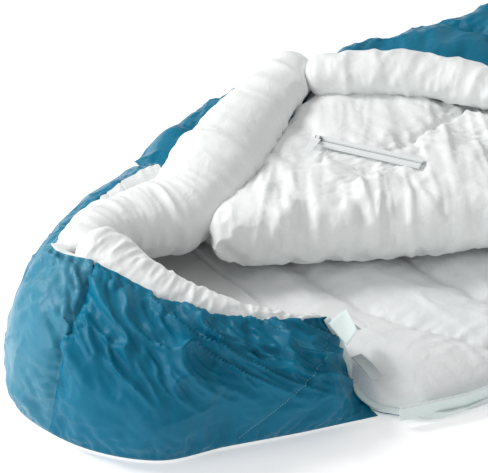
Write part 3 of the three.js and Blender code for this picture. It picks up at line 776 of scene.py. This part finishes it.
def hoodPoint(t, v, depth):
    inward = hoodInward(t)
    depth = np.asarray(depth, float)[..., None] * np.ones_like(inward[..., :1])
    base = curveThrough(hoodBase, t) + inward * depth
    top = curveThrough(hoodRim, t)
    rim = top + inward * depth * 0.75
    rim[..., 2] -= depth[..., 0] * 0.55
    # The wall bellies out, less so past the crown, and is swept in where it ends by the neck.
    swell = mix(24.0, 2.0, smooth((np.asarray(t) - 0.44) / 0.12))
    swept = smooth(1 - np.asarray(t) / 0.07)
    swell = mix(swell, -98.0, swept)[..., None]
    turn = curveThrough(hoodBase, t) + inward * (depth - swell)
    share = mix(0.82, 0.62, smooth((np.asarray(t) - 0.48) / 0.14))
    share = mix(share, 0.1, swept)
    turn[..., 2] = top[..., 2] * share - depth[..., 0] * 0.3
    v = np.asarray(v, float)[..., None]
    return base * (1 - v) ** 2 + turn * 2 * v * (1 - v) + rim * v * v


def hoodShares(columns, rows):
    look = hoodLook
    u = np.linspace(0.0, 1.0, columns)[:, None] * np.ones((1, rows))
    v = np.ones((columns, 1)) * np.linspace(0.0, 1.0, rows)[None, :]
    slant = (0.5 - v) * look["seamSlant"] * np.exp(-((u - look["seamShare"]) / 0.08) ** 2)
    slant = slant - (0.5 - v) * look["seamSlant"] * np.exp(-((u - look["farSeamShare"]) / 0.08) ** 2)
    return u, v, u + slant


# How far each spot lies from the two puckered seams, in millimetres.
def hoodSeamDistance(u):
    look = hoodLook
    nearest = np.minimum(np.abs(u - look["seamShare"]), np.abs(u - look["farSeamShare"]))
    return nearest * look["round"]


def hoodOutward(grid):
    outward = surfaceNormals(grid)
    middle = outward[grid.shape[0] // 6, grid.shape[1] // 2]
    return outward * (1.0 if middle @ np.array([0.0, -1.0, 0.2]) > 0 else -1.0)


def buildHood():
    look = hoodLook
    u, v, t = hoodShares(look["columns"], look["rows"])
    tuck = look["tuck"] * (1 - v) ** 3
    outer = hoodPoint(t, v, 2.0 + 5.0 * (1 - v) + tuck)
    inner = hoodPoint(t, v, t * 0 + look["wall"])
    seam = hoodSeamDistance(u)
    outer = outer - hoodOutward(outer) * (8.0 * np.exp(-seam / 16.0) * smooth(v / 0.1))[..., None]
    grounded = smooth((18.0 - outer[..., 2]) / 14.0)
    held = np.maximum(grounded, np.clip(1.3 - seam / 7.0, 0, 1))
    outer = settled("hoodDraft", outer, inner, held, 0.7, pressure=1.6, slack=0.05, frames=14,
                    cap=0.009)
    outer = finer(outer)
    inner = finer(inner)
    u, v, t = hoodShares(2 * look["columns"] - 1, 2 * look["rows"] - 1)
    seam = hoodSeamDistance(u)
    around = t * look["round"]
    height = v * look["rise"]
    # The big wrinkles slant down from the rim towards the neck.
    across = around * -0.43 + height * 0.9
    down = around * -0.9 - height * 0.43
    high = smooth((v - 0.25) / 0.35) * smooth((1.04 - v) / 0.12)
    big = ridges(across, down, 50.0, 3.4, 51) + 0.9 * ridges(across, down, 25.0, 3.4, 52)
    big = big + 0.5 * ridges(across * 0.8 + down * 0.3, down, 14.0, 3.0, 59)
    small = ridges(height * 1.0 + around * 0.12, around, 22.0, 4.5, 53)
    fine = layers(np.stack([around, height * 1.6, around * 0], -1), 46.0, 55)
    nearSide = smooth((0.46 - t) / 0.06)
    lift = look["diagonal"] * (big - 0.6) * high * nearSide
    lift = lift + 2.6 * (small - 0.3) * (1 - high) + 2.4 * fine
    crossed = ridges(around * 0.5 + height, around, 40.0, 2.6, 56)
    lift = lift + 3.0 * (crossed - 0.4) * (1 - nearSide)
    lift = lift - 4.0 * np.exp(-(seam / 5.0)) + 4.0 * pucker(seam, height, 12.0, 28.0, 57)
    # The straight topstitched seam lies in a shallow groove.
    stitchAway = np.abs(t - look["topstitch"] * (1 - v)) * look["round"]
    lift = lift - 3.0 * np.exp(-stitchAway / 6.0)
    # The facing gathers the cloth under the rim.
    lift = lift + 3.2 * pucker((1 - v) * look["rise"], around, 13.0, 30.0, 58)
    lift = lift * smooth(v / 0.12 + 0.15) * smooth(t / 0.03 + 0.1)
    outer = outer + hoodOutward(outer) * lift[..., None]
    return pad("hoodPad", outer, inner, rings=2, bulge=3.0)


hoodPad = buildHood()
print("hood built")


def buildHoodFloor():
    rows = 60
    columns = 60
    s = np.linspace(0.0, 0.485, rows)[:, None] * np.ones((1, columns))
    w = np.ones((rows, 1)) * np.linspace(0.0, 1.0, columns)[None, :]
    near = curveThrough(hoodBase, s) + hoodInward(s) * 66
    far = curveThrough(hoodBase, 1 - s) + hoodInward(1 - s) * 66
    flat = mix(near, far, w[..., None])
    flat[..., 0] += (-586.0 - flat[:1, :, 0]) * smooth(1 - s / 0.12)
    x, y = flat[..., 0], flat[..., 1]
    inside = np.clip(np.minimum(w, 1 - w) * np.linalg.norm(far - near, axis=-1) / 70.0, 0, 1)
    crown = np.sqrt(np.clip(1 - (1 - inside) ** 2, 0, 1))
    top = 30 + 25 * crown + 2.5 * layers(np.stack([x, y, x * 0], -1), 110.0, 61)
    top = top + 2.4 * (ridges(x, y, 36.0, 2.4, 62) - 0.4)
    upper = np.stack([x, y, top], -1)
    lower = np.stack([x, y, x * 0 + 1.0], -1)
    return pad("hoodFloor", upper, lower, rings=2, bulge=4.0)


hoodFloor = buildHoodFloor()

# ---- The rim's gathered facing along the near rim; the collar below covers the far rim.
rimLook = {"shares": (0.0, 0.485), "half": [5, 16, 32, 44, 52], "high": [6, 14, 22, 27, 29],
           "gather": 4.6}


def rimPath(shares, half, drop, inset):
    t = np.linspace(shares[0], shares[1], 24)
    wide = np.interp(np.linspace(0, 1, 24), np.linspace(0, 1, len(half)), half)
    path = curveThrough(hoodRim, t) + hoodInward(t) * (wide + inset)[:, None]
    path[:, 2] -= np.linspace(drop[0], drop[1], 24)
    return path


def crossGathers(pitch, deep, seed):
    def relief(along, around):
        flat = np.stack([along, around * 26.0, along * 0], -1)
        bend = noiseAt(flat, 60.0, seed) * 12
        lines = ridges(along + bend, around * 40.0, pitch, 3.4, seed + 1)
        lines = lines + 0.5 * ridges(along + bend, around * 40.0, pitch * 0.5, 3.0, seed + 2)
        return deep * (lines - 0.5) + 1.6 * layers(flat, 70.0, seed + 3)
    return relief


nearFacing = tube("nearFacing", rimPath(rimLook["shares"], rimLook["half"], (6.0, 17.0), 2.0),
                  rimLook["half"], rimLook["high"], step=4.0, around=36,
                  relief=crossGathers(11.0, rimLook["gather"], 71))

# ---- One thick down collar runs from the crown along the far rim and up the neck edge of the
# folded corner, and a draft tube runs on along the corner's zip edge.
collarLook = {"path": [(-864, 54, 208), (-808, 92, 186), (-748, 120, 166), (-683, 124, 151),
                       (-612, 128, 152), (-530, 165, 172), (-395, 240, 188), (-272, 302, 194)],
              "half": [34, 46, 58, 66, 68, 60, 48, 40],
              "high": [26, 38, 50, 60, 60, 52, 43, 38]}
collar = tube("neckCollar", collarLook["path"], collarLook["half"], collarLook["high"], step=5.0,
              around=48, cap=30.0, relief=crossGathers(30.0, 6.0, 81), lean=(-0.3, -0.2, 1))
draftLook = {"path": [(-296, 256, 208), (-240, 220, 210), (-176, 171, 212), (-120, 110, 211),
                      (-76, 40, 211), (-20, -70, 210), (25, -190, 204)],
             "half": [34, 38, 38, 36, 34, 28, 16], "high": [32, 34, 34, 33, 30, 24, 12]}
draft = tube("draftTube", draftLook["path"], draftLook["half"], draftLook["high"], step=5.0,
             around=36, cap=22.0, relief=crossGathers(22.0, 5.0, 91))
print("facings, collar and draft tube built")

# ---- Which cloth shows where.
def faceCentres(obj):
    count = len(obj.data.polygons)
    spots = np.zeros(count * 3)
    obj.data.polygons.foreach_get("center", spots)
    normals = np.zeros(count * 3)
    obj.data.polygons.foreach_get("normal", normals)
    return spots.reshape(-1, 3), normals.reshape(-1, 3)


def floorSides(obj):
    spots, normals = faceCentres(obj)
    x = spots[:, 0] * 1000 + centre[0]
    y = spots[:, 1] * 1000 + centre[1]
    openSide = (x > -545) & (x < 90) & (y < -250)
    hem = 16
    within = (np.abs(y) < halfWidth(x) - hem) & (x < plan["legsEndX"] - hem) | openSide
    upward = (normals[:, 2] > 0.05) & (spots[:, 2] > 0.004)
    return (upward & within) | (openSide & (normals[:, 2] > -0.8))


def topSides(obj):
    spots, normals = faceCentres(obj)
    return (normals[:, 2] < -0.3) | (spots[:, 0] < (-571.0 - centre[0]) / 1000)


def flapSides(obj):
    spots = faceCentres(obj)[0]
    quads = (flapSize[0] - 1) * (flapSize[1] - 1)
    atNeck = spots[:, 0] < (-572.0 - centre[0]) / 1000
    upperFace = np.arange(len(spots)) < quads
    return (spots[:, 2] > (plan["hingeZ"] + 8) / 1000) | upperFace | atNeck


def hoodSides(obj):
    columns, rows = hoodSize
    quads = (columns - 1) * (rows - 1)
    number = np.arange(len(obj.data.polygons))
    share = (number // (rows - 1)) / (columns - 1)
    crown = (share > hoodLook["seamShare"]) & (share < hoodLook["farSeamShare"])
    # The crown panel gets the paler, lit copy of the teal, which is painted light.
    return np.where(number < quads, np.where(crown, 1, 0), 2)


def hoodFloorSides(obj):
    return faceCentres(obj)[1][:, 2] > 0


paintFaces(floorPad, [teal, floorLining], floorSides)
paintFaces(topPad, [teal, lining], topSides)
paintFaces(flapPad, [teal, lining], flapSides)
paintFaces(hoodPad, [teal, paintedLitTeal, lining], hoodSides)
paintFaces(hoodFloor, [teal, floorLining], hoodFloorSides)
for obj in (nearFacing, collar, draft):
    obj.data.materials.append(lining)

hoodGrid = gridOf(hoodPad, *hoodSize)


# ---- Small parts: bindings, tapes, stitches.
def plainMaterial(name, look):
    made, nodes, links, shader = material(name, linear(look["colour"]), look["roughness"])
    where = nodes.new("ShaderNodeTexCoord")
    grain = nodes.new("ShaderNodeTexNoise")
    grain.inputs["Scale"].default_value = look["grainScale"]
    grain.inputs["Detail"].default_value = 5
    links.new(where.outputs["Object"], grain.inputs["Vector"])
    ramp = nodes.new("ShaderNodeValToRGB")
    ramp.color_ramp.elements[0].color = (*linear(look["deep"]), 1)
    ramp.color_ramp.elements[1].color = (*linear(look["colour"]), 1)
    links.new(grain.outputs["Fac"], ramp.inputs["Fac"])
    links.new(ramp.outputs["Color"], shader.inputs["Base Color"])
    spread = nodes.new("ShaderNodeMapRange")
    spread.inputs["To Min"].default_value = look["roughness"] - 0.08
    spread.inputs["To Max"].default_value = look["roughness"] + 0.08
    links.new(grain.outputs["Fac"], spread.inputs["Value"])
    links.new(spread.outputs["Result"], shader.inputs["Roughness"])
    bump = nodes.new("ShaderNodeBump")
    bump.inputs["Strength"].default_value = 0.25
    bump.inputs["Distance"].default_value = 0.0004
    if "ribScale" in look:
        ribs = nodes.new("ShaderNodeTexWave")
        ribs.bands_direction = look["ribAxis"]
        ribs.inputs["Scale"].default_value = look["ribScale"]
        links.new(where.outputs["Object"], ribs.inputs["Vector"])
        links.new(ribs.outputs["Fac"], bump.inputs["Height"])
    else:
        links.new(grain.outputs["Fac"], bump.inputs["Height"])
    links.new(bump.outputs["Normal"], shader.inputs["Normal"])
    shader.inputs["Metallic"].default_value = look.get("metal", 0.0)
    return made


tapeCloth = plainMaterial("whiteTape", {"colour": "e9f3f1", "deep": "dcebe8", "roughness": 0.6,
                                        "grainScale": 300.0, "ribScale": 500.0, "ribAxis": "X"})
greyTape = plainMaterial("greyTape", {"colour": "b9c0c2", "deep": "9da5a8", "roughness": 0.8,
                                      "grainScale": 400.0, "ribScale": 160.0, "ribAxis": "Z"})
# The turns of a zip's coil, 2.2 mm apart, stand as ribs on its strip.
coilPlastic = plainMaterial("coilPlastic", {"colour": "e4e9e9", "deep": "c3caca",
                                            "roughness": 0.4, "grainScale": 200.0,
                                            "ribScale": 143.0, "ribAxis": "X"})
pullPlastic = plainMaterial("pullPlastic", {"colour": "f0f2f2", "deep": "e2e6e6",
                                            "roughness": 0.45, "grainScale": 150.0})
zipMetal = plainMaterial("zipMetal", {"colour": "a9adb0", "deep": "8a8e92", "roughness": 0.32,
                                      "grainScale": 90.0, "metal": 0.9})
paleThread = plainMaterial("paleThread", {"colour": "a6cdd9", "deep": "93bfcd",
                                          "roughness": 0.7, "grainScale": 500.0})
tealThread = plainMaterial("tealThread", {"colour": "0f5f7c", "deep": "0a4f69",
                                          "roughness": 0.7, "grainScale": 500.0})

edgeLook = {"path": [(-588, -216, 124), (-576, -236, 84), (-572, -262, 38), (-575, -286, 20),
                     (-566, -318, 12), (-541, -350, 9), (-509, -381, 8), (-472, -393, 8),
                     (-420, -394, 9), (-200, -376, 14), (136, -343, 20)],
            "wide": 10.4, "thick": 2.6}
edgeTape, edgeLong = ribbon("openEdgeBinding", edgeLook["path"], edgeLook["wide"],
                            edgeLook["thick"], (1, -0.3, 0.1), (0, -0.5, 1))
edgeTape.data.materials.append(tapeCloth)
# The neck tab: a folded square of tape at the top of the edge.
tabLook = {"corners": [(-588, -222, 118), (-558, -227, 135), (-569, -269, 125), (-588, -270, 105)],
           "cells": 14, "thick": 2.2, "wave": 1.5}


def buildTab():
    count = tabLook["cells"]
    u = np.linspace(0, 1, count)[:, None] * np.ones((1, count))
    v = np.ones((count, 1)) * np.linspace(0, 1, count)[None, :]
    a, b, c, d = [np.array(corner, float) for corner in tabLook["corners"]]
    u3, v3 = u[..., None], v[..., None]
    grid = a * (1 - u3) * (1 - v3) + b * u3 * (1 - v3) + c * u3 * v3 + d * (1 - u3) * v3
    normal = np.cross(b - a, d - a)
    normal = normal / np.linalg.norm(normal)
    bow = tabLook["wave"] * np.sin(u * 3.0) * np.sin(v * 2.6) * 2 + np.sin(u * 9.0) * 0.3
    grid = grid + normal * bow[..., None]
    return pad("neckTab", grid + normal * tabLook["thick"] / 2, grid - normal * tabLook["thick"] / 2,
               rings=2, bulge=0.8)


neckTab = buildTab()
neckTab.data.materials.append(tapeCloth)
pipingPath = [(-236, 270, 205), (-170, 224, 212), (-92, 128, 212), (-12, -36, 206),
              (60, -180, 200)]
piping = tube("zipPiping", pipingPath, [2.6, 2.6], [2.6, 2.6], step=5.0, around=8, cap=4.0)
piping.data.materials.append(tapeCloth)

threads = []


def sew(name, grid, path, look, body, **sizes):
    made = stitches(name, grid, path, **sizes)
    made.data.materials.append(look)
    threads.append((made, body))


sew("hoodSeamStitches", hoodGrid, [(0.002, 0.99), (0.095, 0.5), (hoodLook["topstitch"], 0.03)],
    paleThread, "bag", wide=2.0, long=3.8, gap=4.4)
crownStitchU = hoodLook["seamShare"] + 0.006
sew("crownSeamStitches", hoodGrid, [(crownStitchU, 0.98), (crownStitchU, 0.5), (crownStitchU, 0.04)],
    tealThread, "bag")
farStitchU = hoodLook["farSeamShare"] + 0.006
sew("farSeamStitches", hoodGrid, [(farStitchU, 0.98), (farStitchU, 0.5), (farStitchU, 0.04)],
    tealThread, "bag")

# ---- Foot of the bag.
footLook = {"reach": 95.0, "half": 259.0, "low": 4.0, "high": 122.0, "flatX": 921.0}


def buildFoot():
    look = footLook
    columns = 72
    rows = 26
    a = np.linspace(-math.pi / 2, math.pi / 2, columns)[:, None] * np.ones((1, rows))
    v = np.ones((columns, 1)) * np.linspace(-1, 1, rows)[None, :]
    round_ = np.sqrt(np.clip(1 - np.abs(v) ** 2.6, 0, 1))
    x = look["flatX"] + 3 + look["reach"] * np.cos(a) * (0.35 + 0.65 * round_)
    y = look["half"] * np.sin(a) * (0.93 + 0.07 * round_)
    z = mix(look["low"], look["high"], (v + 1) / 2)
    seam = np.abs(np.abs(a) - 0.6) * 200
    puff = 1.0 - np.exp(-seam / 18.0)
    away = np.stack([np.cos(a), np.sin(a), a * 0], -1)
    grow = 4 * puff - 6 + 2.0 * pucker(seam, z, 14.0, 24.0, 65)
    grow = grow + 2.0 * layers(np.stack([y, z, x], -1), 60.0, 66)
    outer = np.stack([x, y, z], -1) + away * (grow * round_)[..., None]
    outer[..., 0] = np.maximum(outer[..., 0], look["flatX"] + 1)
    inner = np.stack([x * 0 + look["flatX"], look["half"] * 0.9 * np.sin(a),
                      mix(look["low"] + 6, look["high"] - 6, (v + 1) / 2)], -1)
    return pad("footPad", outer, inner, rings=2, bulge=2.0)


footPad = buildFoot()
footPad.data.materials.append(teal)
print("small parts built")

# ---- What each piece stands for and which body it moves with.
for obj in (hoodFloor, nearFacing, collar, draft, footPad):
    subdivide(obj)

sides = ["near", "crown", "far"]
stands = [
    (floorPad, "bag", "shell_nylon",
     ["floor_shell", "floor_lining"] + [f"floor_down_channel_{i}" for i in range(1, 6)]),
    (topPad, "bag", "shell_nylon",
     ["top_shell", "top_lining"] + [f"top_down_channel_{i}" for i in range(1, 6)]),
    (hoodPad, "bag", "shell_nylon",
     [f"hood_{part}_{side}" for part in ("shell", "down", "lining") for side in sides]),
    (hoodFloor, "bag", "lining", ["hood_floor_shell", "hood_floor_down", "hood_floor_lining"]),
    (nearFacing, "bag", "lining", ["hood_facing_near"]),
    (footPad, "bag", "shell_nylon", ["foot_shell", "foot_down", "foot_lining"]),
    (draft, "folding_corner", "lining", ["flap_draft_tube"]),
]
for obj, body, slot, nodes in stands:
    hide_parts(*nodes)
    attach(obj, body)
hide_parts("flap_shell", "flap_lining", *[f"flap_down_channel_{i}" for i in range(1, 4)])
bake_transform(flapPad)
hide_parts("hood_facing_far", "flap_neck_collar")
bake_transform(collar)
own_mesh(draft)
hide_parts("neck_tab")
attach(neckTab, "neck_tab")
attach(edgeTape, "bag")
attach(piping, "folding_corner")
for obj, body in threads:
    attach(obj, body)

carried = {
    "whiteTape": (tapeCloth, ["zip_tape_lower", "zip_tape_upper", "flap_zip_tape",
                              "hang_loop_near", "hang_loop_far"]),
    "greyTape": (greyTape, ["neck_tab_hooks", "neck_loop_patch"]),
    "coil": (coilPlastic, ["zip_coil_lower", "zip_coil_upper", "flap_zip_coil",
                           "pocket_zip_coil", "pocket_zip_end_box", "zip_bottom_stop",
                           "zip_top_stop"]),
    "metal": (zipMetal, ["zip_slider", "pocket_slider"]),
    "pull": (pullPlastic, ["zip_puller", "pocket_zip_tape_upper", "pocket_zip_tape_lower",
                           "pocket_pull_tab"]),
}
for look, names in carried.values():
    for name in names:
        node = bpy.data.objects[name]
        node.data.materials.clear()
        node.data.materials.append(look)

# ---- Camera and light.
view = {"azimuth": -35.0, "elevation": 33.0, "distance": 24.0, "target": (-0.4519, 0.2011, 0.0),
        "unitsWide": 488.0 / 650.0}


def addCamera():
    a = math.radians(view["azimuth"])
    e = math.radians(view["elevation"])
    back = Vector((math.sin(a) * math.cos(e), -math.cos(a) * math.cos(e), math.sin(e)))
    data = bpy.data.cameras.new("camera")
    camera = bpy.data.objects.new("camera", data)
    bpy.context.scene.collection.objects.link(camera)
    camera.location = Vector(view["target"]) + back * view["distance"]
    camera.rotation_mode = "QUATERNION"
    camera.rotation_quaternion = back.to_track_quat("Z", "Y")
    data.sensor_width = 36.0
    data.lens = 36.0 * view["distance"] / view["unitsWide"]
    data.clip_start = 0.5
    data.clip_end = 80.0
    bpy.context.scene.camera = camera


lightLook = {"world": 0.55,
             "lamps": [("key", (-2.0, 2.0, 2.4), 66.0, 1.0), ("side", (-2.9, 0.2, 0.9), 18.0, 1.0)]}


def addStudio():
    bpy.ops.mesh.primitive_plane_add(size=14, location=(0, 0, -0.001))
    ground = bpy.context.active_object
    ground.name = "studioFloor"
    made, nodes, links, shader = material("studioFloor", (0.95, 0.95, 0.95), 0.7)
    shader.inputs["Emission Color"].default_value = (1, 1, 1, 1)
    shader.inputs["Emission Strength"].default_value = 0.26
    ground.data.materials.append(made)
    world = bpy.data.worlds.new("studio")
    bpy.context.scene.world = world
    world.use_nodes = True
    world.node_tree.nodes["Background"].inputs["Color"].default_value = (1, 1, 1, 1)
    world.node_tree.nodes["Background"].inputs["Strength"].default_value = lightLook["world"]
    for name, spot, power, size in lightLook["lamps"]:
        data = bpy.data.lights.new(name, "AREA")
        data.energy = power
        data.size = size
        lamp = bpy.data.objects.new(name, data)
        bpy.context.scene.collection.objects.link(lamp)
        lamp.location = spot
        aim = Vector((-0.4, 0.0, 0.1)) - Vector(spot)
        lamp.rotation_mode = "QUATERNION"
        lamp.rotation_quaternion = aim.to_track_quat("-Z", "Y")


addCamera()
addStudio()
bpy.context.scene.view_settings.view_transform = "Standard"
